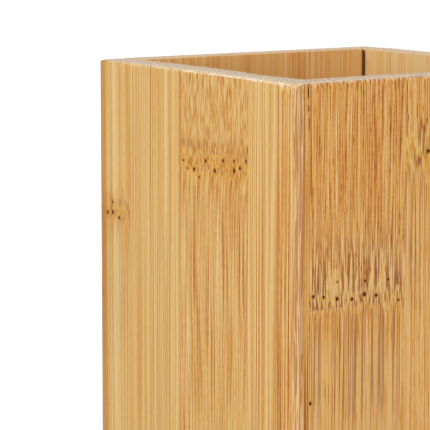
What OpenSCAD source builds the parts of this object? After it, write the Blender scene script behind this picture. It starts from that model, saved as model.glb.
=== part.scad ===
// Square bathroom cup of laminated bamboo that holds toothbrushes upright.
// Four upright boards stand in a pinwheel: the outer end of each board covers the butted
// end of the board before it. Each board, and the floor set in between them, is glued up
// from narrower strips. The cup is sanded after the glue-up, so the strips lie flush.

/* [Cup] */
// Outside width of the cup, alike on all four sides
cup_w = 70; // [60:1:90]
// Height from the table to the rim
cup_h = 110; // [90:1:140]

/* [Walls] */
// Thickness of the wall boards
wall_t = 6.5; // [5:0.5:9]
// Radius of the four upright outer corners
corner_r = 1.5; // [0.6:0.1:2.4]
// Radius of the outer edge round the rim and round the foot
rim_r = 0.8; // [0.4:0.1:1.5]
// Radius of the inner edge round the mouth
mouth_r = 0.2; // [0.2:0.1:1.5]
// Radius of the inner arris on each board's butted end
arris_r = 0.7; // [0.3:0.1:1]
// Width of the open joint that is left beside that arris, down each inner corner
joint_gap = 0.3; // [0.1:0.1:0.6]
// Depth of the open joint into the wall
joint_depth = 1.8; // [1.2:0.2:3]
// Height of the closed stretch between the open joint and the rim
joint_stop = 0.5; // [0.3:0.1:3]

/* [Floor] */
// Thickness of the floor board
floor_t = 6; // [4:0.5:9]
// Height of the floor's underside above the table
floor_lift = 1.5; // [0.5:0.5:4]

/* [Hidden] */
$fn = 48;
// How far a cutting shape runs past what it cuts
overrun = 1;
// A board runs from its own corner of the cup to the inner face of the next board
board_w = cup_w - wall_t;
mouth_w = cup_w - 2 * wall_t;
floor_top = floor_lift + floor_t;

// Seams between the strips, as shares of the board's width from the board's own corner
front_seam_shares = [0, 0.043, 0.397, 0.748, 1];
right_seam_shares = [0, 0.268, 0.606, 0.873, 1];
back_seam_shares = [0, 0.302, 0.643, 0.85, 1];
left_seam_shares = [0, 0.194, 0.488, 0.85, 1];
floor_seam_shares = [0, 0.27, 0.52, 0.77, 1];

// The boards in the order in which a quarter turn takes one onto the next
sides = ["front", "right", "back", "left"];
side_seam_shares = [front_seam_shares, right_seam_shares, back_seam_shares, left_seam_shares];
side_tints = [
    ["#d3a161", "#c7925a", "#cb975a", "#cf9c5f"],
    ["#d3aa70", "#d6ae74", "#cda264", "#d8b07a"],
    ["#c6935a", "#c18c52", "#c69258", "#be8a50"],
    ["#d7ac6c", "#dab06f", "#d5a863", "#dbb26e"]
];
floor_tints = ["#c99a5c", "#cfa266", "#c59457", "#cc9e62"];

// Rectangle with round corners, centred on the origin
module rounded_rect(w, h, r) {
    square([w - 2 * r, h], center = true);
    square([w, h - 2 * r], center = true);
    for (sx = [-1, 1], sy = [-1, 1])
        translate([sx * (w / 2 - r), sy * (h / 2 - r)]) circle(r = r);
}

// Sets an outline upright, its second axis pointing up, and draws it out along Y
module upright(length) {
    rotate([90, 0, 0]) linear_extrude(length, center = true) children();
}

// The cup's outer form as one block, rounded at the corners, the rim and the foot
module block() {
    intersection() {
        linear_extrude(cup_h) rounded_rect(cup_w, cup_w, corner_r);
        for_both_ways() translate([0, cup_h / 2]) rounded_rect(cup_w, cup_h, rim_r);
    }
}

// What two upright outlines, one along each wall direction, have in common
module for_both_ways() {
    intersection() {
        upright(cup_w + 2 * overrun) children();
        rotate([0, 0, 90]) upright(cup_w + 2 * overrun) children();
    }
}

// Outline of the opening, flaring over a quarter round on each side of the mouth
module mouth_outline() {
    translate([-mouth_w / 2, -overrun]) square([mouth_w, cup_h + 2 * overrun]);
    difference() {
        translate([-mouth_w / 2 - mouth_r, cup_h - mouth_r])
            square([mouth_w + 2 * mouth_r, mouth_r + overrun]);
        for (s = [-1, 1]) translate([s * (mouth_w / 2 + mouth_r), cup_h - mouth_r])
            circle(r = mouth_r);
    }
}

// Cut down the inner corner of the front board's butted end: a narrow open joint that
// runs from the floor to just short of the rim, its mouth rounded on the board's side
module joint_cut() {
    translate([mouth_w / 2 - joint_gap, -mouth_w / 2, floor_top])
        linear_extrude(cup_h - joint_stop - floor_top) {
            translate([0, -joint_depth]) square([joint_gap + overrun, joint_depth + overrun]);
            translate([-arris_r, -arris_r]) difference() {
                square(arris_r + overrun);
                circle(r = arris_r);
            }
        }
}

// Strip i of the board on side s: cut from the block where the front board would be,
// then turned to its own side
module wall_strip(s, i) {
    seams = side_seam_shares[s];
    first = seams[i] * board_w;
    last = seams[i + 1] * board_w;
    color(side_tints[s][i]) rotate([0, 0, 90 * s]) difference() {
        intersection() {
            block();
            translate([first - cup_w / 2, -cup_w / 2, 0]) cube([last - first, wall_t, cup_h]);
        }
        for_both_ways() mouth_outline();
        if (i == len(seams) - 2) joint_cut();
    }
}

// Strip i of the floor, laid side to side between the walls
module floor_strip(i) {
    first = floor_seam_shares[i] * mouth_w;
    last = floor_seam_shares[i + 1] * mouth_w;
    color(floor_tints[i]) translate([-mouth_w / 2, first - mouth_w / 2, floor_lift])
        cube([mouth_w, last - first, floor_t]);
}

for (s = [0:len(sides) - 1]) for (i = [0:len(side_seam_shares[s]) - 2])
    wall_strip(s, i);
for (i = [0:len(floor_seam_shares) - 2])
    floor_strip(i);
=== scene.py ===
import math

import bmesh
import bpy
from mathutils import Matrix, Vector, noise


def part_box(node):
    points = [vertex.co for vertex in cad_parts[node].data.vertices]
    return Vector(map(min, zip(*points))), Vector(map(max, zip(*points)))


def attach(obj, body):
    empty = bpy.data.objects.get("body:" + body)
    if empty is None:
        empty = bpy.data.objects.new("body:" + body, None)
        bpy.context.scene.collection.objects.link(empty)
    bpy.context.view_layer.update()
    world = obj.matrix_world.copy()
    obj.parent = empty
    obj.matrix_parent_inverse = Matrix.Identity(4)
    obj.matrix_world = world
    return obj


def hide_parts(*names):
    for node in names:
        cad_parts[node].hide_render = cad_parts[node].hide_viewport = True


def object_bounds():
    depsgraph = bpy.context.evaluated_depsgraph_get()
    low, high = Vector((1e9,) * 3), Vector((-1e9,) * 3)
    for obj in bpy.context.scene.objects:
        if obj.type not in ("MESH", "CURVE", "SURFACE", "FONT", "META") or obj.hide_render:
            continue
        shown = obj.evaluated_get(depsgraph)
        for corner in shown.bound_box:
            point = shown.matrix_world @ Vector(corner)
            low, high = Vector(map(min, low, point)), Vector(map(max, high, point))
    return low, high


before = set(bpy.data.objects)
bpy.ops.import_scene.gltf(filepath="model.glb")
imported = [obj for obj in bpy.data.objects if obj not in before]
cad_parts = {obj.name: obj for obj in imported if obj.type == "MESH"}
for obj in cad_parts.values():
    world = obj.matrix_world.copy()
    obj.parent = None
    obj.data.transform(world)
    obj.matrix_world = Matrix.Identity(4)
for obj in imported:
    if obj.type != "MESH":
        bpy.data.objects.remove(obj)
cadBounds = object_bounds()  # the CAD model's own box, before anything is dressed
print("stage: frame loaded,", len(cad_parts), "strips")

mm = 0.001

# The cup's own sizes in millimetres, read back from the frame
rimMm = cadBounds[1].z / mm
halfMm = cadBounds[1].x / mm
wallMm = (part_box("front_strip_2")[1].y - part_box("front_strip_2")[0].y) / mm
boardMm = 2 * halfMm - wallMm
touchMm = 0.1   # anything nearer counts as touching

# Quarter turns that take the front board onto each side
sideTurns = {"front": 0, "right": 1, "back": 2, "left": 3}


def linear(rgb):
    # 0-255 sRGB to the linear colour that a shader socket takes
    out = []
    for c in rgb:
        c = c / 255
        out.append(c / 12.92 if c <= 0.04045 else ((c + 0.055) / 1.055) ** 2.4)
    return (*out, 1.0)


class Shading:
    # A thin helper round one material's node tree: numbers or sockets go in, a socket comes out

    def __init__(self, name):
        self.material = bpy.data.materials.new(name)
        self.material.use_nodes = True
        self.tree = self.material.node_tree
        self.tree.nodes.clear()

    def put(self, socket, value):
        if isinstance(value, bpy.types.NodeSocket):
            self.tree.links.new(value, socket)
        elif value is not None:
            socket.default_value = value

    def add(self, kind, inputs=None, **settings):
        made = self.tree.nodes.new(kind)
        for key, value in settings.items():
            setattr(made, key, value)
        for key, value in (inputs or {}).items():
            self.put(made.inputs[key], value)
        return made

    def calc(self, operation, *values):
        made = self.add("ShaderNodeMath", operation=operation)
        for socket, value in zip(made.inputs, values):
            self.put(socket, value)
        return made.outputs[0]

    def total(self, *values):
        result = values[0]
        for value in values[1:]:
            result = self.calc("ADD", result, value)
        return result

    def product(self, *values):
        result = values[0]
        for value in values[1:]:
            result = self.calc("MULTIPLY", result, value)
        return result

    def fade(self, value, low, high, toLow=0.0, toHigh=1.0):
        # Smoothly from toLow where the value is low to toHigh where it is high
        made = self.add("ShaderNodeMapRange", {0: value, 1: low, 2: high, 3: toLow, 4: toHigh})
        made.interpolation_type = "SMOOTHSTEP"
        return made.outputs[0]

    def hump(self, value, middle, reach):
        # 1 at the middle, falling off smoothly on both sides
        off = self.calc("DIVIDE", self.calc("SUBTRACT", value, middle), reach)
        return self.calc("EXPONENT", self.product(off, off, -1.0))

    def join(self, x, y, z):
        return self.add("ShaderNodeCombineXYZ", {"X": x, "Y": y, "Z": z}).outputs[0]

    def split(self, vector):
        return self.add("ShaderNodeSeparateXYZ", {0: vector}).outputs

    def cells(self, place, sizes, shift=None):
        # A place counted in a pattern's cells, and moved along the last axis
        across, deep, up = [self.calc("DIVIDE", part, size) for part, size in zip(place, sizes)]
        if shift is not None:
            up = self.calc("ADD", up, shift)
        return self.join(across, deep, up)

    def noise(self, where, detail=1.0, roughness=0.5):
        inputs = {"Vector": where, "Scale": 1.0, "Detail": detail, "Roughness": roughness}
        return self.add("ShaderNodeTexNoise", inputs).outputs["Fac"]

    def unevenness(self, where, low=None, high=None):
        # Noise about 0, made harder where a low and a high level are given
        made = self.noise(where)
        if low is not None:
            made = self.fade(made, low, high)
        return self.calc("SUBTRACT", made, 0.5)

    def mix(self, factor, a, b, blend="MIX"):
        made = self.add("ShaderNodeMix", data_type="RGBA", blend_type=blend)
        made.clamp_factor = True
        self.put(made.inputs[0], factor)
        self.put(made.inputs[6], a)
        self.put(made.inputs[7], b)
        return made.outputs[2]

    def tinted(self, colour, rgb):
        return self.mix(1.0, colour, linear(rgb), blend="MULTIPLY")

    def cover(self, colour, share, name):
        return self.mix(share, colour, linear(bambooColours[name]))

    def ramp(self, factor, stops):
        made = self.add("ShaderNodeValToRGB", {0: factor})
        points = made.color_ramp.elements
        while len(points) < len(stops):
            points.new(0.5)
        for point, (place, colour) in zip(points, stops):
            point.position = place
            point.color = colour
        return made.outputs[0]


# One scale of tone for all the bamboo, from cream (0) to the brown of a fibre bundle (1)
bambooTones = [(0.0, (229, 199, 144)), (0.2, (221, 178, 107)), (0.42, (210, 150, 79)),
               (0.65, (177, 111, 55)), (0.85, (144, 83, 46)), (1.0, (114, 64, 38))]

bambooColours = {
    "greyer": (252, 246, 255),      # these three multiply the grain's own colour
    "warmer": (255, 252, 226),
    "knotWarm": (255, 251, 212),
    "endGrain": (238, 214, 184),
    "pore": (146, 126, 110),
    # warm colour of the rim's inner part, also the painted highlight just below its inner edge
    "lip": (228, 190, 140),
    "cornerHighlight": (240, 208, 160),        # painted highlight streaks on the round corners
    # pale where sanded, also used as painted highlight on rounded edges
    "worn": (252, 240, 216),
    # painted shade on the round upright corners
    "dull": (170, 124, 80),
    "shaded": (180, 134, 84),
    "flame": (156, 90, 62),
    "amber": (204, 134, 58),
    "halo": (196, 132, 60),         # the stain round a dot
    "dot": (88, 34, 8),
    "glue": (124, 74, 36),
    # painted shade in and beside the open joint at each inner corner
    "paintedJointShade": (104, 58, 34),
}

# What the strips have in common. Lengths are in millimetres. A layer of lines is
# (pitch across the grain, run along it, amount of tone), and so is a layer of bundles.
bambooDefaults = {
    "tone": 0.22,
    "lowTone": 0.0,         # added to the tone below the knot
    "lowCalm": 1.0,         # what is left of the lines' contrast there
    "tint": (255, 255, 255),    # multiplies the colour of the grain
    "seed": 0.0,
    "bands": (3.2, 300.0, 0.22),
    "lines": [(0.8, 300.0, 0.18), (0.44, 200.0, 0.28), (0.27, 60.0, 0.2)],
    "ribs": None,           # evenly spaced dark lines: pitch, run, amount
    "bundles": [],
    "mottle": (0.28, 1.8, 0.07),    # short fibres in all of it
    "hueDrift": 0.35,       # patches that are greyer or warmer than their tone
    "wander": 0.12,         # how far the lines stray sideways
    "insideCalm": 0.35,     # what is left of the contrast on the inside
    "knot": None,           # how far below the rim a knot lies
    "knotReach": 3.2,       # how far the blotches go
    "knotRun": 3.0,         # how short the lines get there
    "knotDraw": 12.0,       # how far from it they start to shorten
    "knotSway": 1.2,        # how far the grain below is shifted sideways
    "knotShade": 0.05,      # added to the tone at the knot
    "knotRipple": 0.75,     # how far the grain is bent to and fro there
    "knotBlotch": 0.22,
    "knotSoft": (1.0, 4.0, 0.0),    # middle above the knot, reach, share of the lines' contrast lost
    "knotStreaks": 0.4,     # how much stronger the bundles get above it
    "streaksBelow": 0.7,    # and below it, as a share of that
    "knotFlames": 0.3,      # dark reddish streaks that run up and down from it
    "flameReach": 16.0,     # how far up they run
    "knotStrokes": (-1.6, 2.0, 0.2),    # short dark strokes: middle above the knot, reach, amount
    "knotAmber": 0.0,       # orange patches between them
    "knotWarm": 0.4,
    "aboveShare": 1.0,      # length of the lines above the knot, as a share of those below
    # partly sanded and partly painted highlight, on the rim's rounded outer edge
    "rimWearAndHighlight": 0.3,
    "lipHighlight": 0.6,         # painted highlight on the rim's inner edge, in the same pale colour
    "lipPale": 0.0,         # painted highlight: how pale the wall is just below that edge
    "rimWarm": 0.0,         # how warm the inner part of the rim's flat top is
    "endWear": 0.4,         # paler patches where the board's end meets the rim
    "arrisWearAndHighlight": 0.2,       # a pale line down the middle of the round corner, partly sanded and partly painted highlight
    "cornerShade": 0.0,     # how far the face is darkened beside the board's own corner
    "arrisTones": [],       # lines along the round outer corner: how far round it, reach, tone
    "torn": 0.15,           # short notches of tone in the rim's outer edge
    "stains": [],           # dark or pale streaks: along, half width, below the rim, half length, tone
    "dotHalo": 1.0,         # how far the orange stain round a dot reaches
    "dots": [],             # cut bundle ends: along from the board's own corner, below the rim, size
    "cracks": [],           # along, below the rim, half width, half length
}

frontGrain = {
    "tone": 0.22, "lowTone": -0.13, "lowCalm": 0.6, "tint": (259, 251, 245), "hueDrift": 0.8,
    "bands": (4.0, 200.0, 0.12), "wander": 0.06, "mottle": (0.26, 1.6, 0.11),
    "lines": [(0.6, 50.0, 0.1), (0.31, 26.0, 0.28), (0.18, 11.0, 0.26)],
    "ribs": (0.7, 34.0, 0.25), "bundles": [(0.46, 7.0, 0.18)], "streaksBelow": 0.1,
    "knotRipple": 0.2, "knotBlotch": 0.06, "knotSoft": (-1.0, 4.0, 0.4), "knotShade": -0.26,
    "knotFlames": 0.9, "knotStrokes": (-1.6, 2.0, 0.9), "knotAmber": 0.3,
    "rimWearAndHighlight": 0.16, "torn": 0.45,
}
frontKnotGrain = {
    **frontGrain, "aboveShare": 0.45, "knotStreaks": 1.6,
    "lines": [(0.6, 90.0, 0.1), (0.31, 60.0, 0.3), (0.18, 26.0, 0.26)],
}
innerGrain = {
    "tone": 0.25, "tint": (256, 253, 264), "insideCalm": 0.5, "bands": (2.6, 300.0, 0.34),
    "lipHighlight": 0.2, "rimWarm": 0.6,
}
rightGrain = {
    "tone": -0.03, "tint": (260, 257, 255), "insideCalm": 0.9, "bands": (2.6, 300.0, 0.34),
    "lipPale": 0.55, "rimWarm": 0.5,
}

strips = {
    "front_strip_1": {
        **frontGrain, "tone": 0.44, "tint": (255, 251, 244), "seed": 3.0,
        "lines": [(0.34, 90.0, 0.45), (0.2, 30.0, 0.4)], "ribs": None, "bundles": [],
        "rimWearAndHighlight": 0.5, "arrisWearAndHighlight": 0.12, "endWear": 0.62,
        "arrisTones": [(0.87, 0.07, 0.2), (0.25, 0.22, -0.36)],
        "cracks": [(2.25, 1.9, 0.17, 1.45), (2.32, 4.9, 0.14, 0.7), (2.5, 7.7, 0.09, 1.3)],
    },
    "front_strip_2": {
        **frontKnotGrain, "seed": 11.0, "knot": 40.2, "knotDraw": 5.0, "knotRun": 4.0,
        "dots": [(9.2, 37.7, 0.7), (15.7, 38.1, 0.9), (21.2, 38.3, 0.9), (15.5, 40.6, 1.4),
                 (18.3, 41.1, 1.2), (3.6, 40.0, 1.1), (6.0, 40.3, 1.0), (9.1, 40.9, 1.3),
                 (12.6, 41.3, 1.2), (23.6, 42.5, 0.9), (3.0, 60.1, 1.2)],
    },
    "front_strip_3": {
        **frontKnotGrain, "tone": 0.17, "lowTone": -0.05, "lowCalm": 0.8, "seed": 23.7,
        "knot": 14.5, "knotDraw": 4.0, "knotShade": -0.16, "knotFlames": 0.8,
        "flameReach": 8.0, "knotAmber": 0.7, "knotWarm": 1.0,
        "dots": [(30.5, 14.5, 1.3), (34.2, 13.5, 1.0), (37.6, 15.0, 1.2), (41.4, 13.9, 0.9),
                 (44.6, 15.2, 1.1)],
    },
    "front_strip_4": {
        **frontGrain, "tone": 0.24, "seed": 27.0, "knot": 78.0,
        "dots": [(50.0, 77.0, 1.0), (54.5, 78.8, 1.2), (59.0, 77.4, 1.0)],
    },
    "left_strip_1": {
        "tone": 0.22, "lowTone": -0.045, "seed": 35.0, "bands": (2.6, 300.0, 0.42),
        "lines": [(0.9, 300.0, 0.2), (0.5, 160.0, 0.26), (0.3, 60.0, 0.16)],
        "knot": 30.4, "knotReach": 1.7, "knotRun": 40.0, "knotDraw": 3.0, "knotSway": 0.3,
        "knotFlames": 0.5, "flameReach": 4.0, "knotAmber": 0.6, "knotWarm": 0.7, "dotHalo": 2.2,
        "rimWearAndHighlight": 0.2, "arrisWearAndHighlight": 0.1, "cornerShade": 0.45,
        # the first darkens a band beside the cup's corner from top to bottom
        "stains": [(2.2, 1.6, 0, 1000, 0.12), (5.5, 3.4, 30.6, 4.5, 0.12),
                   (1.3, 0.35, 48.0, 1.4, 0.5)],
        "dots": [(5.6, 29.0, 1.0), (3.6, 31.3, 1.2), (5.6, 31.1, 1.4), (8.0, 32.0, 1.1)],
    },
    "left_strip_2": {
        "tone": 0.2, "seed": 43.0, "bands": (3.2, 300.0, 0.08), "rimWearAndHighlight": 0.4,
        "lines": [(0.9, 300.0, 0.16), (0.42, 150.0, 0.28), (0.26, 50.0, 0.2)],
    },
    "left_strip_3": {
        "tone": 0.25, "seed": 51.0, "bands": (3.2, 300.0, 0.12), "wander": 0.3,
        "lines": [(0.9, 50.0, 0.06), (0.46, 40.0, 0.28), (0.28, 20.0, 0.32)],
        "mottle": (0.28, 1.4, 0.11), "bundles": [(0.7, 24.0, 0.09)], "aboveShare": 0.14,
        "knot": 17.8, "knotDraw": 4.0, "knotSway": -1.6, "knotShade": 0.06, "knotRipple": 0.35,
        "knotBlotch": 0.14, "knotSoft": (3.0, 7.0, 0.4), "knotStreaks": 1.2, "knotFlames": 0.15,
        "knotStrokes": (3.6, 1.5, 0.55), "knotWarm": 0.6, "rimWearAndHighlight": 0.9,
        "stains": [(49.5, 2.8, 26, 12, 0.12), (46.0, 12.0, 14.2, 2.8, 0.05)],
        "dots": [(31.8, 17.9, 0.8), (33.4, 19.3, 0.8), (35.6, 19.3, 1.3), (39.6, 17.3, 1.2),
                 (42.8, 18.9, 1.4), (45.6, 16.7, 1.2), (49.3, 16.4, 0.9), (49.3, 18.3, 1.4),
                 (51.3, 17.6, 1.2), (53.3, 16.1, 1.0), (37.4, 20.7, 0.8)],
    },
    "left_strip_4": {
        "tone": 0.17, "seed": 59.0, "bands": (3.2, 300.0, 0.14), "rimWearAndHighlight": 1.0,
        "lines": [(0.9, 300.0, 0.1), (0.46, 150.0, 0.38), (0.28, 60.0, 0.32)],
    },
    "right_strip_1": {**rightGrain, "seed": 67.0},
    "right_strip_2": {
        **rightGrain, "tone": 0.1, "seed": 75.0, "bundles": [(0.8, 24.0, 0.25)], "knot": 56.0,
        "dots": [(19.5, 55.0, 1.0), (24.0, 57.0, 1.2), (29.2, 55.6, 1.3), (33.0, 57.4, 0.9),
                 (36.5, 55.9, 1.1)],
    },
    "right_strip_3": {**rightGrain, "seed": 83.0},
    "right_strip_4": {**rightGrain, "seed": 91.0},
    "back_strip_1": {**innerGrain, "seed": 99.0},
    "back_strip_2": {
        **innerGrain, "seed": 107.0, "bundles": [(0.8, 24.0, 0.25)], "knot": 84.0,
        "dots": [(21.0, 83.0, 1.0), (26.5, 85.0, 1.2), (31.0, 83.5, 1.1), (37.0, 84.6, 1.2)],
    },
    "back_strip_3": {**innerGrain, "seed": 115.0},
    "back_strip_4": {**innerGrain, "seed": 123.0},
}

# Sizes of each pattern's cells in millimetres: along the board, into the wall and up
cellSizes = {
    "stray": (5.0, 5.0, 26.0),      # the lines' slow wander
    "ripple": (1.6, 1.6, 2.2),      # the grain's bends at a knot
    "blotch": (0.8, 0.8, 0.8),
    "amber": (1.1, 1.1, 3.2),
    "ragged": (1 / 2.6, 1 / 0.6, 1 / 2.6),  # the edges of dots and cracks
    "drift": (0.6, 0.6, 5.0),       # greyer and warmer patches
    "torn": (0.42, 2.0, 1.4),       # notches in the rim's outer edge
    "flecks": (0.4, 0.5, 0.5),      # specks in worn edges and end grain
    "patches": (1.6, 1.6, 4.0),     # larger patches of wear
    "lean": (1.0, 1.0, 12.0),       # how the streaks round a corner lean
    "streaks": (0.9, 1.0, 14.0),    # and how they bend
    "pores": (0.6, 0.6, 20.0),
}
depthShare = 1.5    # cells of the grain are this much deeper than they are wide

# How noise becomes grain. Levels run from none of an effect to all of it, and a third value,
# here and below, is what is left at the first.
grainLook = {
    "mottleLevels": (0.34, 0.66),
    "lineLevels": (0.38, 0.64),
    "lineMiddle": 0.44,         # a line this strong leaves the tone as it is
    "ribDrift": (3, 2, 3.0),    # shares of their pitch and run, and how far they bend
    "ribLevels": (0.1, 0.95),
    "ribPatches": (1.4, 0.6),   # the same shares, of the stretches where they fade
    "ribPatchLevels": (0.36, 0.66, 0.3),
    "bundleLevels": (0.44, 0.16),
    "gain": 1.6,                # of ribs and bundles
    "driftLevels": (0.34, 0.66),
}

# The grain round a knot, in millimetres above it. A band is a middle and a reach.
knotLook = {
    "swayReach": 4.5,
    "aboveBand": (5.5, 4.0),    # where the bundles are stronger
    "belowBand": (-5.0, 3.5),
    "calmBelow": (-2.0, -5.0),  # where the grain below takes its own contrast
    "toneBelow": (-3.0, -14.0),     # and its own tone
    "blotchLevels": (0.36, 0.64),
    "warmShare": 1.3,           # reach of the warm colour, as a share of the blotches'
    "amberBand": (0.5, 4.5),
    "amberLevels": (0.48, 0.62),
}

# Dots and cracks are ellipses, and their edges are given in half sizes of their own
dotLook = {
    "halfSizes": (0.3, 0.34),   # sideways and upright, of a dot of size 1, in millimetres
    "ragged": 0.9,
    "edge": (1.35, 0.55),
    "haloEdge": (2.3, 1.2),
    "halo": 0.4,
    "skin": (1.0, 0.5),         # how deep into the wall they show, in millimetres
}

# Shifts along the grain that keep the patterns of one strip apart
grainShifts = {"bands": 1.7, "mottle": 31.3, "lines": 5.3, "nextLines": 4.1, "ribDrift": 2.9,
               "ribStrength": 8.3, "bundles": 17.9, "nextBundles": 3.7}

# Streaks at a knot: their pitch, run and shift, and then where they begin and end above it
flameLook = {
    "ends": (0.5, 12.0, 3.1),
    "groups": (2.6, 9.0, 0.0),
    "above": (0.36, 11.0, 0.0),
    "strokes": (0.33, 3.0, 7.7),
    "under": (0.3, 40.0, 5.2),
    "endSpread": 6.0,       # how much further some streaks run than others
    "aboveFrom": (-0.6, 1.0),
    "aboveFade": 0.3,       # share of flameReach from which they fade
    "underFrom": (-2.6, -4.0),
    "underTo": (-34.0, -16.0),
    "underAmount": 0.75,
    "groupLevels": (0.34, 0.52, 0.55),
    "aboveLevels": (0.5, 0.56),
    "underLevels": (0.53, 0.59),
    "strokeLevels": (0.53, 0.59),
    "paler": -0.2,          # added to the tone of the grain among those above
}

# How edges, ends and corners are coloured. A pair runs from none of an effect to all of it, in
# millimetres: below the rim, into the wall or along the board. A tilt is 0 to 1, and levels are
# those of a pattern.
edgeLook = {
    "tornLevels": (0.4, 0.62),
    "tornMiddle": 0.45,
    "tornBelow": (1.5, 0.5),
    "tornInto": (1.2, 0.6),
    "rimTilt": (0.62, 0.24),        # middle and reach
    "rimStrength": 1.4,
    "fleckLevels": (0.38, 0.6, 0.2),
    "patchLevels": (0.3, 0.6, 0.5),
    "lipBand": (2.0, 1.0),          # before the wall's inner face
    "lipPatchy": 0.75,
    "lipPaleBand": (0.4, 0.1),      # before the wall's inner face
    "lipPaleBelow": (0.8, 0.1),
    "streakPitch": 0.8,
    "streakLean": 0.8,
    "streakBend": 3.0,
    "streakLevels": (-0.7, 0.9),
    "arrisTilt": (0.5, 0.03),       # middle and reach
    "arrisLeast": 0.3,
    "cornerInto": (0.4, 2.2, 0.25),
    "endAlong": (1.8, 0.4),
    "endInto": (1.0, 3.2),
    "endBelow": (1.3, 0.6),
    "hazeInto": (2.5, 1.3),
    "hazeTilt": (0.4, 0.15),
    "hazeBelow": (8.0, 1.0),
    "hazeAmount": (0.42, 0.8),      # low down and at the rim
    "shadeAlong": (3.8, 1.2),
    "shadeTilt": (0.5, 0.3),
    "roundTilt": (0.05, 0.35),
    "roundShade": (0.92, 0.25),      # painted shade between the pale streaks and in them
    "roundHighlight": (0.55, 1.0, 0.0, 0.36),    # levels of a streak, and what they give
    "insideTilt": (0.3, 0.7),       # where a face looks inwards, which calms its grain
    "levelTilt": (0.72, 0.92),      # where a face is level enough to show end grain
}

# End grain on the rim and the foot, and the clear lacquer over all
endLook = {"ownColour": 0.2, "poreEdge": (0.42, 0.18), "largePores": 0.6, "pores": 0.56,
           "fleckLevels": (0.44, 0.6), "outerInto": (2.6, 0.8), "outerWorn": 0.2,
           "warmInto": (0.4, 2.4)}
lacquer = {"smooth": 0.46, "dull": 0.58, "tones": (0.1, 0.9), "ior": 1.45, "specular": 0.1,
           "bumpStrength": 0.35, "bumpMm": 0.06, "faceGrit": 0.1, "endGrit": 0.6,
           "gritTilt": (0.3, 0.7)}

# The open joint down each inner corner, and the closed one outside, as the boards leave them
jointLook = {"gap": 0.3, "depth": 1.8, "shadeSpill": 0.3, "lineWidth": 0.3, "lineAmount": 0.55,
             "shadeWidth": 3.6, "shadeBelow": 3.0, "shade": 0.26, "jointShadeBelow": 0.5, "paintedJointShade": 0.92,
             "seamSkin": (0.5, 0.45), "soft": 0.1, "sideTilt": (0.7, 0.9), "insideTilt": (0.6, 0.8)}


def boardPlace(s, side):
    # Object coordinates in millimetres as (along the board, into the wall, up from the table),
    # and the way that the surface faces in the same directions
    turn = sideTurns[side] * math.pi / 2
    where = s.add("ShaderNodeTexCoord").outputs["Object"]
    place = s.add("ShaderNodeMapping", {"Vector": where}, vector_type="POINT")
    place.inputs["Scale"].default_value = (1 / mm, 1 / mm, 1 / mm)
    place.inputs["Rotation"].default_value = (0, 0, -turn)
    place.inputs["Location"].default_value = (halfMm, halfMm, 0)
    normal = s.add("ShaderNodeNewGeometry").outputs["Normal"]
    facing = s.add("ShaderNodeMapping", {"Vector": normal}, vector_type="VECTOR")
    facing.inputs["Rotation"].default_value = (0, 0, -turn)
    return s.split(place.outputs[0]), s.split(facing.outputs[0])


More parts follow.
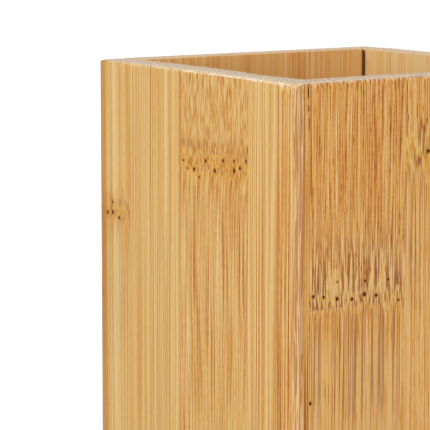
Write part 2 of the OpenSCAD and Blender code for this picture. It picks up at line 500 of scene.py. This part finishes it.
def grainTone(s, look, place, fromKnot, calm):
    # The tone of the grain: bands, lines and bundles, all stretched along the strip
    along, into, height = place
    hasKnot = look["knot"] is not None
    stray = s.unevenness(s.cells(place, cellSizes["stray"], look["seed"]))
    across = s.calc("MULTIPLY_ADD", stray, look["wander"] * cellSizes["stray"][0], along)
    if hasKnot:
        nearKnot = s.hump(fromKnot, 0.0, look["knotReach"])
        ripple = s.unevenness(s.cells(place, cellSizes["ripple"]))
        ripple = s.product(ripple, nearKnot, look["knotRipple"] * 2)
        sway = s.calc("TANH", s.calc("DIVIDE", fromKnot, knotLook["swayReach"]))
        sway = s.product(sway, look["knotSway"] / 2)
        across = s.total(across, ripple, sway)
        squeeze = s.calc("TANH", s.calc("DIVIDE", fromKnot, look["knotDraw"]))
        above = s.calc("MAXIMUM", fromKnot, 0.0)
        below = s.calc("MINIMUM", fromKnot, 0.0)

    def grainNoise(pitch, run, shift, detail=1.0):
        return s.noise(grainPlace(pitch, run, shift), detail)

    def grainPlace(pitch, run, shift):
        if hasKnot:
            up = s.calc("DIVIDE", below, run)
            up = s.calc("MULTIPLY_ADD", above, 1 / (run * look["aboveShare"]), up)
            drawn = look["knotDraw"] * max(0.0, 1 / look["knotRun"] - 1 / run)
            up = s.calc("MULTIPLY_ADD", squeeze, drawn, up)
        else:
            up = s.calc("DIVIDE", height, run)
        return s.join(s.calc("DIVIDE", across, pitch), s.calc("DIVIDE", into, pitch * depthShare),
                      s.calc("ADD", up, look["seed"] + shift))

    pitch, run, amount = look["bands"]
    band = grainNoise(pitch, run, grainShifts["bands"])
    parts = [s.product(s.calc("SUBTRACT", band, 0.5), amount * 2)]
    pitch, run, amount = look["mottle"]
    fibres = grainNoise(pitch, run, grainShifts["mottle"], detail=2.0)
    fibres = s.calc("SUBTRACT", s.fade(fibres, *grainLook["mottleLevels"]), 0.5)
    fine = [s.product(fibres, amount)]
    relief = []
    for k, (pitch, run, amount) in enumerate(look["lines"]):
        where = grainPlace(pitch, run, grainShifts["lines"] + grainShifts["nextLines"] * k)
        line = s.noise(where, detail=0.6, roughness=0.6)
        strong = s.fade(line, *grainLook["lineLevels"])
        fine.append(s.product(s.calc("SUBTRACT", strong, grainLook["lineMiddle"]), amount))
        relief.append(s.product(line, -amount))
    if look["ribs"]:
        pitch, run, amount = look["ribs"]
        wide, tall, bend = grainLook["ribDrift"]
        drift = grainNoise(pitch * wide, run * tall, grainShifts["ribDrift"], detail=0.0)
        phase = s.calc("MULTIPLY_ADD", drift, bend, s.calc("DIVIDE", across, pitch))
        wave = s.calc("COSINE", s.calc("MULTIPLY", phase, 2 * math.pi))
        wide, tall = grainLook["ribPatches"]
        strength = grainNoise(pitch * wide, run * tall, grainShifts["ribStrength"], detail=0.0)
        strength = s.fade(strength, *grainLook["ribPatchLevels"])
        rib = s.product(s.fade(wave, *grainLook["ribLevels"]), strength)
        fine.append(s.product(rib, amount * grainLook["gain"]))
        relief.append(s.product(rib, -amount))
    fine = s.total(*fine)
    if hasKnot:
        middle, reach, share = look["knotSoft"]
        softened = s.calc("MULTIPLY_ADD", s.hump(fromKnot, middle, reach), -share, 1.0)
        lower = s.fade(fromKnot, *knotLook["calmBelow"], 1.0, look["lowCalm"])
        fine = s.product(fine, softened, lower)
    parts.append(fine)
    for k, (pitch, run, amount) in enumerate(look["bundles"]):
        where = grainPlace(pitch, run, grainShifts["bundles"] + grainShifts["nextBundles"] * k)
        cell = s.add("ShaderNodeTexVoronoi", {"Vector": where, "Scale": 1.0})
        depth = s.add("ShaderNodeSeparateColor", {0: cell.outputs["Color"]}).outputs[0]
        bundle = s.fade(cell.outputs["Distance"], *grainLook["bundleLevels"])
        bundle = s.product(bundle, depth, amount * grainLook["gain"])
        if hasKnot:
            gain = look["knotStreaks"]
            upward = s.product(s.hump(fromKnot, *knotLook["aboveBand"]), gain)
            downward = s.hump(fromKnot, *knotLook["belowBand"])
            downward = s.product(downward, gain * look["streaksBelow"])
            bundle = s.product(bundle, s.total(upward, downward, 1.0))
        parts.append(bundle)
    for stainAlong, halfWide, stainBelow, halfTall, amount in look["stains"]:
        upright = s.hump(height, rimMm - stainBelow, halfTall)
        parts.append(s.product(s.hump(along, stainAlong, halfWide), upright, amount))
    flames = None
    if hasKnot:
        flames, overKnot = flameStreaks(s, look, place, fromKnot)
        flames = s.product(flames, calm)
        blotch = s.unevenness(s.cells(place, cellSizes["blotch"]), *knotLook["blotchLevels"])
        blotch = s.calc("MULTIPLY_ADD", blotch, look["knotBlotch"], look["knotShade"])
        parts.append(s.product(s.fade(fromKnot, *knotLook["toneBelow"]), look["lowTone"]))
        parts.append(s.product(overKnot, look["knotFlames"] * flameLook["paler"]))
        parts.append(s.product(nearKnot, blotch))
    grain = s.product(s.total(*parts), calm)
    return s.calc("ADD", grain, look["tone"]), s.total(*relief), across, flames


def flameStreaks(s, look, place, fromKnot):
    # How far dark reddish streaks cover the grain at a knot, and where those above it run
    def pattern(name):
        pitch, run, shift = flameLook[name]
        return s.noise(s.cells(place, (pitch, pitch * 2, run), look["seed"] + shift), detail=0.3)

    # Each streak ends at a height of its own
    uneven = s.calc("SUBTRACT", pattern("ends"), 0.5)
    uneven = s.calc("MULTIPLY_ADD", uneven, flameLook["endSpread"], fromKnot)
    top = look["flameReach"]
    overKnot = s.product(s.fade(fromKnot, top, top * flameLook["aboveFade"]),
                         s.fade(uneven, *flameLook["aboveFrom"]))
    group = s.fade(pattern("groups"), *flameLook["groupLevels"])
    above = s.product(s.fade(pattern("above"), *flameLook["aboveLevels"]), overKnot, group)
    under = s.product(s.fade(pattern("under"), *flameLook["underLevels"]),
                      s.fade(uneven, *flameLook["underFrom"]),
                      s.fade(fromKnot, *flameLook["underTo"]), flameLook["underAmount"])
    runs = s.product(s.calc("MAXIMUM", above, under), look["knotFlames"])
    middle, reach, amount = look["knotStrokes"]
    strokes = s.product(s.fade(pattern("strokes"), *flameLook["strokeLevels"]),
                        s.hump(fromKnot, middle, reach), amount)
    return s.calc("MAXIMUM", runs, strokes), overKnot


def grainColour(s, look, tone, across, place, fromKnot, calm, flames):
    # The colour of that tone, warmer and greyer in patches, with the stains and streaks of a knot
    _, into, height = place
    colour = s.ramp(tone, [(level, linear(rgb)) for level, rgb in bambooTones])
    colour = s.tinted(colour, look["tint"])
    drift = s.noise(s.cells((across, into, height), cellSizes["drift"]), detail=3.0, roughness=0.6)
    greyer, warmer = [s.tinted(colour, bambooColours[name]) for name in ("greyer", "warmer")]
    drifted = s.mix(s.fade(drift, *grainLook["driftLevels"]), greyer, warmer)
    colour = s.mix(look["hueDrift"], colour, drifted)
    if look["knot"] is not None:
        warm = s.hump(fromKnot, 0.0, look["knotReach"] * knotLook["warmShare"])
        warm = s.product(warm, calm, look["knotWarm"])
        colour = s.mix(warm, colour, s.tinted(colour, bambooColours["knotWarm"]))
        amber = s.fade(s.noise(s.cells(place, cellSizes["amber"])), *knotLook["amberLevels"])
        amber = s.product(amber, s.hump(fromKnot, *knotLook["amberBand"]), calm, look["knotAmber"])
        colour = s.cover(s.cover(colour, amber, "amber"), flames, "flame")
    if look["dots"] or look["cracks"]:
        colour = knotDots(s, look, place, colour)
    return colour


def knotDots(s, look, place, colour):
    # Cut ends of fibre bundles and open cracks, each a small dark ellipse with an uneven edge
    along, into, height = place
    ragged = s.product(s.unevenness(s.cells(place, cellSizes["ragged"])), dotLook["ragged"])
    wide, tall = dotLook["halfSizes"]
    marks = [(a, b, wide * size, tall * size) for a, b, size in look["dots"]] + look["cracks"]
    nearest = None
    for markAlong, markBelow, halfWide, halfTall in marks:
        sideways = s.calc("DIVIDE", s.calc("SUBTRACT", along, markAlong), halfWide)
        upright = s.calc("DIVIDE", s.calc("SUBTRACT", height, rimMm - markBelow), halfTall)
        far = s.total(s.product(sideways, sideways), s.product(upright, upright))
        nearest = far if nearest is None else s.calc("MINIMUM", nearest, far)
    nearest = s.calc("ADD", s.calc("SQRT", nearest), ragged)
    outside = s.fade(into, *dotLook["skin"])
    outer, inner = dotLook["haloEdge"]
    halo = s.product(s.fade(nearest, outer * look["dotHalo"], inner), outside, dotLook["halo"])
    colour = s.cover(colour, halo, "halo")
    return s.cover(colour, s.product(s.fade(nearest, *dotLook["edge"]), outside), "dot")


def belowRim(s, height, band, toLow=0.0, toHigh=1.0):
    # Fades in over a band of the height, given as two distances below the rim
    return s.fade(height, rimMm - band[0], rimMm - band[1], toLow, toHigh)


def beforeInside(s, into, band):
    # Fades in over a band of the wall's thickness, given as two distances from its inner face
    return s.fade(into, wallMm - band[0], wallMm - band[1])


def edgeColours(s, look, atCorner, place, tilts, flecks, colour):
    # Rounded edges are paler in patches, partly sanded and partly painted highlight; the round corners
    # get painted shade with painted highlight streaks, and painted shade beside the cup's corner
    along, into, height = place
    sideTilt, upTilt = tilts
    patches = s.noise(s.cells(place, cellSizes["patches"]))
    patchy = s.product(s.fade(flecks, *edgeLook["fleckLevels"]),
                       s.fade(patches, *edgeLook["patchLevels"]))
    # Painted highlight along the rim's inner edge; along its outer edge, partly sanded and partly
    # painted highlight
    onLip = beforeInside(s, into, edgeLook["lipBand"])
    patchy = s.calc("MAXIMUM", patchy, s.product(onLip, edgeLook["lipPatchy"]))
    edgeWearAndHighlight = s.fade(onLip, 0, 1, look["rimWearAndHighlight"], look["lipHighlight"])
    edges = s.product(s.hump(upTilt, *edgeLook["rimTilt"]), edgeWearAndHighlight, edgeLook["rimStrength"])

    lean = s.noise(s.cells((0.0, 0.0, height), cellSizes["lean"]))
    aroundCorner = s.calc("MULTIPLY_ADD", lean, edgeLook["streakLean"], s.calc("SUBTRACT", along, into))
    bend = s.noise(s.cells((aroundCorner, 0.0, height), cellSizes["streaks"]))
    phase = s.calc("MULTIPLY_ADD", bend, edgeLook["streakBend"],
                   s.calc("DIVIDE", aroundCorner, edgeLook["streakPitch"]))
    streaky = s.calc("COSINE", s.calc("MULTIPLY", phase, 2 * math.pi))
    streaky = s.fade(streaky, *edgeLook["streakLevels"])
    # A pale line down the round corner: partly sanded, partly painted highlight
    arris = s.product(s.hump(sideTilt, *edgeLook["arrisTilt"]),
                      s.fade(streaky, 0, 1, edgeLook["arrisLeast"]), look["arrisWearAndHighlight"])
    if atCorner:
        nearEnd = s.fade(along, *edgeLook["endAlong"])
        atEnd = s.product(nearEnd, s.fade(into, *edgeLook["endInto"]),
                          belowRim(s, height, edgeLook["endBelow"]), look["endWear"])
        edges = s.product(edges, s.fade(into, *edgeLook["cornerInto"]))
        edges = s.calc("MAXIMUM", edges, atEnd)
        # Painted highlight streaks down the round corner by the board's end, strongest at the rim
        cornerHighlight = s.product(nearEnd, s.fade(into, *edgeLook["hazeInto"]),
                         s.fade(sideTilt, *edgeLook["hazeTilt"]), streaky,
                         belowRim(s, height, edgeLook["hazeBelow"], *edgeLook["hazeAmount"]))
        colour = s.cover(colour, cornerHighlight, "cornerHighlight")
        shade = s.product(s.fade(along, *edgeLook["shadeAlong"]),
                          s.fade(sideTilt, *edgeLook["shadeTilt"]), look["cornerShade"])
        colour = s.cover(colour, shade, "shaded")
    # The round upright corners get painted shade, with painted highlight streaks
    rounded = s.fade(sideTilt, *edgeLook["roundTilt"])
    dull = s.product(rounded, s.fade(streaky, 0.0, 1.0, *edgeLook["roundShade"]))
    pale = s.product(rounded, s.fade(streaky, *edgeLook["roundHighlight"]))
    colour = s.cover(s.cover(colour, dull, "dull"), pale, "cornerHighlight")
    # This pale colour is partly sanded edges and partly painted highlight
    return s.cover(colour, s.calc("MAXIMUM", s.product(edges, patchy), arris), "worn")


def endGrainColour(s, look, place, across, flecks, colour):
    # Flat ends show grey-beige end grain with darker pores
    _, into, height = place
    poreCells = s.add("ShaderNodeTexVoronoi",
                      {"Vector": s.cells((across, into, height), cellSizes["pores"]), "Scale": 1.0})
    largePores = s.fade(poreCells.outputs["Distance"], *endLook["poreEdge"])
    largePores = s.product(largePores, endLook["largePores"])
    pores = s.total(largePores, s.fade(flecks, *endLook["fleckLevels"]))
    endColour = s.mix(endLook["ownColour"], linear(bambooColours["endGrain"]), colour)
    endColour = s.cover(endColour, s.product(pores, endLook["pores"]), "pore")
    outer = s.fade(into, *endLook["outerInto"], 0.0, endLook["outerWorn"])
    endColour = s.cover(endColour, outer, "worn")
    return s.cover(endColour, s.product(s.fade(into, *endLook["warmInto"]), look["rimWarm"]), "lip")


def jointColours(s, span, place, facing, colour):
    # Dark glue where a butt joint or a seam shows, painted shade deep in the open joint down each inner
    # corner, and painted shade on the inner wall beside it
    along, into, height = place
    low, high = span
    gap, depth, shadeSpill = jointLook["gap"], jointLook["depth"], jointLook["shadeSpill"]
    soft = jointLook["soft"]    # the width over which an edge fades
    skinFrom, skinTo = jointLook["seamSkin"]
    atSide = s.fade(s.calc("ABSOLUTE", facing[0]), *jointLook["sideTilt"])
    glue = s.product(atSide, s.fade(along, high - skinFrom, high - skinTo))
    if low > touchMm:
        atLow = s.product(atSide, s.fade(along, low + skinFrom, low + skinTo))
        glue = s.calc("MAXIMUM", glue, atLow)
    else:  # the board's end, where the next board is butted behind it
        line = s.fade(into, wallMm - jointLook["lineWidth"] - 2 * soft, wallMm - soft)
        line = s.product(s.fade(along, soft, soft / 2), line, jointLook["lineAmount"])
        glue = s.calc("MAXIMUM", glue, line)
    colour = s.cover(colour, glue, "glue")
    deep = s.fade(into, wallMm - depth - soft, wallMm - depth + soft)
    atEnd = s.product(deep, s.fade(along, boardMm - gap - skinFrom, boardMm - gap - soft / 2))
    covered = s.product(s.fade(along, wallMm - depth - 2 * soft, wallMm - depth),
                        s.fade(along, wallMm + shadeSpill + 2 * soft, wallMm + shadeSpill - 2 * soft),
                        s.fade(into, wallMm - soft, wallMm - soft / 5))
    # Painted shade inside the open joint and just past it, fading in from the rim
    paintedJointShade = s.product(s.calc("MAXIMUM", atEnd, covered),
                     s.fade(height, rimMm, rimMm - jointLook["jointShadeBelow"]), jointLook["paintedJointShade"])
    inside = s.fade(facing[1], *jointLook["insideTilt"])
    shade = s.product(s.fade(along, boardMm - jointLook["shadeWidth"], boardMm - 2 * soft), inside,
                      s.fade(height, rimMm, rimMm - jointLook["shadeBelow"]), jointLook["shade"])
    return s.cover(s.cover(colour, shade, "paintedJointShade"), paintedJointShade, "paintedJointShade")


def bambooMaterial(name, side, own, isFloor=False):
    look = {**bambooDefaults, **own}
    s = Shading(name)
    place, facing = boardPlace(s, side)
    along, into, height = place
    if isFloor:  # the floor's grain runs side to side
        along, height = into, along
        place = along, into, height
    knotHeight = rimMm - look["knot"] if look["knot"] is not None else 0.0
    fromKnot = s.calc("SUBTRACT", height, knotHeight)
    calm = s.fade(facing[1], *edgeLook["insideTilt"], 1.0, look["insideCalm"])
    tone, relief, across, flames = grainTone(s, look, place, fromKnot, calm)
    turned = s.calc("ABSOLUTE", facing[1])
    for level, reach, amount in look["arrisTones"]:
        tone = s.calc("MULTIPLY_ADD", s.hump(turned, level, reach), amount, tone)
    torn = s.fade(s.noise(s.cells(place, cellSizes["torn"])), *edgeLook["tornLevels"])
    torn = s.product(s.calc("SUBTRACT", torn, edgeLook["tornMiddle"]),
                     belowRim(s, height, edgeLook["tornBelow"]), s.fade(into, *edgeLook["tornInto"]))
    tone = s.calc("MULTIPLY_ADD", torn, look["torn"], tone)
    colour = grainColour(s, look, tone, across, place, fromKnot, calm, flames)

    upTilt = s.calc("ABSOLUTE", facing[2])
    sideTilt = s.product(s.calc("ABSOLUTE", facing[0]), turned)
    flecks = s.noise(s.cells(place, cellSizes["flecks"]))
    atCorner = not isFloor and own["span"][0] < touchMm
    colour = edgeColours(s, look, atCorner, place, (sideTilt, upTilt), flecks, colour)
    endColour = endGrainColour(s, look, place, across, flecks, colour)
    # Painted highlight on the wall just below the rim's inner edge
    lip = s.product(beforeInside(s, into, edgeLook["lipPaleBand"]),
                    belowRim(s, height, edgeLook["lipPaleBelow"]), look["lipPale"])
    colour = s.cover(colour, lip, "lip")
    colour = s.mix(s.fade(upTilt, *edgeLook["levelTilt"]), colour, endColour)
    if not isFloor:
        colour = jointColours(s, own["span"], place, facing, colour)

    rough = s.fade(tone, *lacquer["tones"], lacquer["smooth"], lacquer["dull"])
    grit = s.fade(upTilt, *lacquer["gritTilt"], lacquer["faceGrit"], lacquer["endGrit"])
    bump = s.add("ShaderNodeBump", {"Height": s.calc("MULTIPLY_ADD", flecks, grit, relief)})
    bump.inputs["Strength"].default_value = lacquer["bumpStrength"]
    bump.inputs["Distance"].default_value = lacquer["bumpMm"] * mm
    shader = s.add("ShaderNodeBsdfPrincipled",
                   {"Base Color": colour, "Roughness": rough, "Normal": bump.outputs[0]})
    shader.inputs["IOR"].default_value = lacquer["ior"]
    shader.inputs["Specular IOR Level"].default_value = lacquer["specular"]
    s.add("ShaderNodeOutputMaterial", {"Surface": shader.outputs[0]})
    return s.material


# How the rim and corners are worn, in millimetres
wearLook = {
    "rimBand": 2.4,         # height below the rim that gets the close mesh
    "rimStep": 0.4,
    "rimLevels": [1.0, 1.3, 1.7, 2.0],
    "endCuts": 2.0,         # length of the board's end that gets cuts across the wall too
    "fray": {"front": 0.16, "left": 0.07, "back": 0.07, "right": 0.07},
    "frayCells": (0.5, 2.0, 1.6),
    "fraySlice": 7,         # which slice of the noise tears it
    "frayBias": 0.05,       # share of the edge that is torn, and how strongly
    "frayStrength": 2.2,
    "frayInto": 1.4,        # how far into the wall it goes
    "frayBelow": 0.8,       # and how far down the edge sinks with it
    "fraySink": 0.5,        # by this share of the tear
    "frayFull": 1.6,        # how steeply it grows towards the rim
    "cornerDrop": 0.15,     # how far the rim is rounded down at the cup's corners
    "cornerReach": 1.1,
    "endDrop": 0.75,        # and along each board's end, less at the corner, not at the next board
    "endReach": 0.8,
    "endFade": 1.2,
    "endCorner": (0.3, 0.25),   # share of the drop left at the corner, and gained per millimetre
    "endUneven": (0.35, 1.3),   # how much the drop varies, and over what length
    "endSlice": (3, 1),
    "endPush": (0.4, 0.3),      # share of the drop by which the end moves in, and its reach
    "sag": {"front": 0.22, "left": 0.22},   # how far the rim is worn down round the near corner
    "edgeSag": {"front": 0.08, "left": 0.32},   # and its outer edge on top of that
    "sagReach": {"front": 15.0, "left": 18.0},
    # A hollow in the inner edge: depth, distance from the near corner, reach
    "lipSag": {"front": (0.14, 32.0, 18.0), "left": (0.25, 20.0, 11.0)},
    "crackDepth": 0.3,
    "openCracks": 2,        # how many of a strip's cracks are cut into it, the longest first
    "crackCuts": (-1.0, -0.6, 0.6, 1.0),    # shares of a crack's half length
    "crackMiddle": 0.7,     # the share within which it is deep
}
weldMetres = 1e-7
samePlaceMm = 1e-3
flatAngle = math.radians(0.5)
sharpAngle = math.radians(32)


def toBoard(co, turn):
    # A point in metres to (along, into, height) in the board's own millimetres
    c, sn = round(math.cos(turn)), round(math.sin(turn))
    x, y = co.x * c + co.y * sn, -co.x * sn + co.y * c
    return Vector((x / mm + halfMm, y / mm + halfMm, co.z / mm))


def fromBoard(place, turn):
    c, sn = round(math.cos(turn)), round(math.sin(turn))
    x, y = (place.x - halfMm) * mm, (place.y - halfMm) * mm
    return Vector((x * c - y * sn, x * sn + y * c, place.z * mm))


def cutAcross(bm, turn, place, direction, isNear):
    # Cuts new edges into the faces that isNear picks, along a plane in the board's own millimetres
    picked = [face for face in bm.faces if isNear(toBoard(face.calc_center_median(), turn))]
    geometry = set(picked)
    for face in picked:
        geometry.update(face.edges)
        geometry.update(face.verts)
    normal = fromBoard(Vector((halfMm, halfMm, 0)) + Vector(direction), turn)
    bmesh.ops.bisect_plane(bm, geom=list(geometry), plane_co=fromBoard(Vector(place), turn),
                           plane_no=normal, dist=weldMetres)


def cutRim(bm, turn, first, last):
    # The close mesh round the rim: level cuts, cuts along the board, and cuts into its end
    look = wearLook

    def inRim(place):
        return place.z > rimMm - look["rimBand"]

    for level in [look["rimBand"], *look["rimLevels"]]:
        cutAcross(bm, turn, (0, 0, rimMm - level), (0, 0, 1), lambda place: place.z > 0)
    steps = max(1, round((last - first) / look["rimStep"]))
    for k in range(1, steps):
        cutAcross(bm, turn, (first + (last - first) * k / steps, 0, 0), (1, 0, 0), inRim)
    if first < touchMm:
        steps = round(wallMm / look["rimStep"])
        for k in range(1, steps):
            cutAcross(bm, turn, (0, wallMm * k / steps, 0), (0, 1, 0),
                      lambda place: inRim(place) and place.x < look["endCuts"])


def openCrack(bm, turn, along, below, halfWide, halfTall):
    # A groove in the outer face that is deepest along its middle
    for across in (-halfWide, 0, halfWide):
        cutAcross(bm, turn, (along + across, 0, 0), (1, 0, 0), lambda place: place.y < touchMm)
    for share in wearLook["crackCuts"]:
        cutAcross(bm, turn, (0, 0, rimMm - below + share * halfTall), (0, 0, 1),
                  lambda place: place.y < touchMm and abs(place.x - along) < halfWide)
    deepTall = wearLook["crackMiddle"] * halfTall
    for vert in bm.verts:
        place = toBoard(vert.co, turn)
        inMiddle = abs(place.x - along) < samePlaceMm and abs(place.z - rimMm + below) < deepTall
        if place.y < touchMm and inMiddle:
            vert.co = fromBoard(place + Vector((0, wearLook["crackDepth"], 0)), turn)


def wornPlace(place, side, first, last):
    # Where a point of the strip lies after years of use
    look = wearLook
    below = rimMm - place.z
    if below > look["rimBand"] - samePlaceMm:
        return place
    nearRim = 1 - max(0.0, below) / look["rimBand"]
    atNextStrip = abs(place.x - last) < samePlaceMm
    atOwnSeam = first > touchMm and abs(place.x - first) < samePlaceMm
    if place.y < look["frayInto"] and not atNextStrip and not atOwnSeam:
        cellLong, cellDeep, cellTall = look["frayCells"]
        deep = place.y / cellDeep + look["fraySlice"]
        torn = noise.noise(Vector((place.x / cellLong, deep, place.z / cellTall)))
        amount = max(0.0, torn + look["frayBias"]) * look["fray"][side] * look["frayStrength"]
        amount *= min(1.0, nearRim * look["frayFull"])
        place.y += amount * max(0.0, 1 - place.y / look["frayInto"])
        place.z -= amount * look["fraySink"] * max(0.0, 1 - below / look["frayBelow"])
    if side in look["sag"]:
        fromNear = place.x if side == "front" else 2 * halfMm - place.x
        near = math.exp(-(fromNear / look["sagReach"][side]) ** 2)
        atEdge = max(0.0, 1 - place.y / look["frayInto"])
        place.z -= near * nearRim * (look["sag"][side] + look["edgeSag"][side] * atEdge)
        depth, middle, reach = look["lipSag"][side]
        hollow = depth * math.exp(-((fromNear - middle) / reach) ** 2)
        place.z -= hollow * nearRim * max(0.0, place.y / wallMm * 2 - 1)
    if first < touchMm:
        far = math.hypot(place.x, place.y)
        drop = look["cornerDrop"] * math.exp(-(far / look["cornerReach"]) ** 2)
        share, gain = look["endCorner"]
        atNext = min(1.0, max(0.0, wallMm - place.y) / look["endFade"])
        atNext *= min(1.0, share + gain * place.y)
        drop += look["endDrop"] * math.exp(-(place.x / look["endReach"]) ** 2) * atNext
        varies, length = look["endUneven"]
        drop *= 1 + varies * noise.noise(Vector((place.y / length, *look["endSlice"])))
        place.z -= drop * nearRim
        share, reach = look["endPush"]
        place.x += share * drop * nearRim * math.exp(-(place.x / reach) ** 2)
    return place


def wornStrip(node, side, number, own):
    turn = sideTurns[side] * math.pi / 2
    bm = bmesh.new()
    bm.from_mesh(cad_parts[node].data)
    bmesh.ops.remove_doubles(bm, verts=bm.verts, dist=weldMetres)
    bmesh.ops.dissolve_limit(bm, angle_limit=flatAngle, verts=bm.verts, edges=bm.edges)
    ends = [toBoard(corner, turn).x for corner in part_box(node)]
    first, last = min(ends), max(ends)
    cutRim(bm, turn, first, last)
    for crack in own.get("cracks", [])[:wearLook["openCracks"]]:
        openCrack(bm, turn, *crack)
    for vert in bm.verts:
        vert.co = fromBoard(wornPlace(toBoard(vert.co, turn), side, first, last), turn)
    mesh = bpy.data.meshes.new(node + "_worn")
    bm.to_mesh(mesh)
    bm.free()
    for polygon in mesh.polygons:
        polygon.use_smooth = True
    mesh.set_sharp_from_angle(angle=sharpAngle)
    piece = bpy.data.objects.new(side + "Strip" + str(number), mesh)
    bpy.context.scene.collection.objects.link(piece)
    flatten = piece.modifiers.new("flat faces stay flat", "WEIGHTED_NORMAL")
    flatten.keep_sharp = True
    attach(piece, "root")
    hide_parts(node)
    return piece, (first, last)


for nodeName, own in strips.items():
    sideName, _, stripNumber = nodeName.split("_")
    piece, own["span"] = wornStrip(nodeName, sideName, int(stripNumber), own)
    piece.data.materials.append(bambooMaterial("bamboo_" + nodeName, sideName, own))
print("stage: wall strips worn and dressed")

floorSeeds = {1: 148.0, 2: 156.0, 3: 164.0, 4: 172.0}
for number, seed in floorSeeds.items():
    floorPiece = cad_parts[f"floor_strip_{number}"]
    floorPiece.data.materials.clear()
    grain = bambooMaterial(f"bamboo_floor_{number}", "front", {"seed": seed}, isFloor=True)
    floorPiece.data.materials.append(grain)
print("stage: floor strips dressed")

# The studio: a pale floor that glows to the camera, more so further off (all in metres)
stageLook = {"floorSize": 8.0, "floorColour": 0.55, "glowNear": 0.6, "glowFar": 0.79,
             "glowFrom": 0.12, "glowTo": 0.8, "skyLight": 0.42, "aimHeight": 0.06}


def makeFloor():
    bm = bmesh.new()
    bmesh.ops.create_grid(bm, x_segments=1, y_segments=1, size=stageLook["floorSize"] / 2)
    mesh = bpy.data.meshes.new("floor")
    bm.to_mesh(mesh)
    bm.free()
    floor = bpy.data.objects.new("floor", mesh)
    bpy.context.scene.collection.objects.link(floor)
    s = Shading("floor_white")
    path = s.add("ShaderNodeLightPath")
    seen = s.calc("MAXIMUM", path.outputs["Is Camera Ray"], path.outputs["Is Glossy Ray"])
    seen = s.calc("MAXIMUM", seen, path.outputs["Is Transmission Ray"])
    where = s.add("ShaderNodeTexCoord").outputs["Object"]
    away = s.add("ShaderNodeVectorMath", {0: where}, operation="LENGTH")
    glowing = s.fade(away.outputs["Value"], stageLook["glowFrom"], stageLook["glowTo"],
                     stageLook["glowNear"], stageLook["glowFar"])
    white = (stageLook["floorColour"],) * 3 + (1,)
    matt = s.add("ShaderNodeBsdfDiffuse", {"Color": white})
    glow = s.add("ShaderNodeEmission", {"Color": (1, 1, 1, 1), "Strength": s.product(seen, glowing)})
    both = s.add("ShaderNodeAddShader", {0: matt.outputs[0], 1: glow.outputs[0]})
    s.add("ShaderNodeOutputMaterial", {"Surface": both.outputs[0]})
    floor.data.materials.append(s.material)


def makeSky():
    world = bpy.data.worlds.new("studio")
    bpy.context.scene.world = world
    world.use_nodes = True
    tree = world.node_tree
    tree.nodes.clear()
    path = tree.nodes.new("ShaderNodeLightPath")
    seen = path.outputs["Is Camera Ray"]
    for ray in ("Is Glossy Ray", "Is Transmission Ray"):
        either = tree.nodes.new("ShaderNodeMath")
        either.operation = "MAXIMUM"
        tree.links.new(seen, either.inputs[0])
        tree.links.new(path.outputs[ray], either.inputs[1])
        seen = either.outputs[0]
    strength = tree.nodes.new("ShaderNodeMapRange")
    tree.links.new(seen, strength.inputs[0])
    strength.inputs[3].default_value = stageLook["skyLight"]
    strength.inputs[4].default_value = 1.0
    sky = tree.nodes.new("ShaderNodeBackground")
    sky.inputs["Color"].default_value = (1, 1, 1, 1)
    tree.links.new(strength.outputs[0], sky.inputs["Strength"])
    out = tree.nodes.new("ShaderNodeOutputWorld")
    tree.links.new(sky.outputs[0], out.inputs["Surface"])


lamps = {
    "key": {"at": (-0.8, -0.7, 0.42), "size": 0.7, "power": 10.0, "shines": True},
    "top": {"at": (0.6, 0.6, 0.9), "size": 0.6, "power": 3.2, "shines": False},
}


def makeLamp(name, look):
    data = bpy.data.lights.new(name, "AREA")
    data.shape = "SQUARE"
    data.size = look["size"]
    data.energy = look["power"]
    lamp = bpy.data.objects.new(name, data)
    bpy.context.scene.collection.objects.link(lamp)
    lamp.location = look["at"]
    lamp.visible_glossy = look["shines"]  # the top lamp lifts the rim with no glare on it
    aim = Vector((0, 0, stageLook["aimHeight"])) - lamp.location
    lamp.rotation_euler = aim.to_track_quat("-Z", "Y").to_euler()


makeFloor()
makeSky()
for lampName, lampLook in lamps.items():
    makeLamp(lampName, lampLook)
print("stage: floor, sky and lamps made")

# Camera, from the photograph's perspective: the near rim corner lies at a known pixel
cameraLook = {
    "heading": 55.85,       # degrees, from +X towards +Y
    "dip": 7.78,            # degrees below the horizon
    "depthMm": 459.1,       # from the camera to the near rim corner, along the line of sight
    "lens": 210.74,
    "sensor": 36.0,
    "cornerPixel": (298.5, 82.4),
    "framePixels": 430,
    "clip": (0.01, 50),
}


def makeCamera():
    look = cameraLook
    a, e = math.radians(look["heading"]), math.radians(look["dip"])
    ahead = Vector((math.cos(e) * math.cos(a), math.cos(e) * math.sin(a), -math.sin(e)))
    right = Vector((math.sin(a), -math.cos(a), 0))
    up = right.cross(ahead)
    focal = look["lens"] / look["sensor"] * look["framePixels"]
    middle = look["framePixels"] / 2
    acrossMm = (look["cornerPixel"][0] - middle) * look["depthMm"] / focal
    aboveMm = (middle - look["cornerPixel"][1]) * look["depthMm"] / focal
    corner = Vector((-halfMm, -halfMm, rimMm)) * mm
    data = bpy.data.cameras.new("camera")
    data.lens = look["lens"]
    data.sensor_width = look["sensor"]
    data.clip_start, data.clip_end = look["clip"]
    camera = bpy.data.objects.new("camera", data)
    bpy.context.scene.collection.objects.link(camera)
    camera.location = corner - (ahead * look["depthMm"] + right * acrossMm + up * aboveMm) * mm
    camera.rotation_mode = "QUATERNION"
    camera.rotation_quaternion = ahead.to_track_quat("-Z", "Y")
    bpy.context.scene.camera = camera


makeCamera()
bpy.context.scene.view_settings.view_transform = "Standard"
print("stage: camera made")
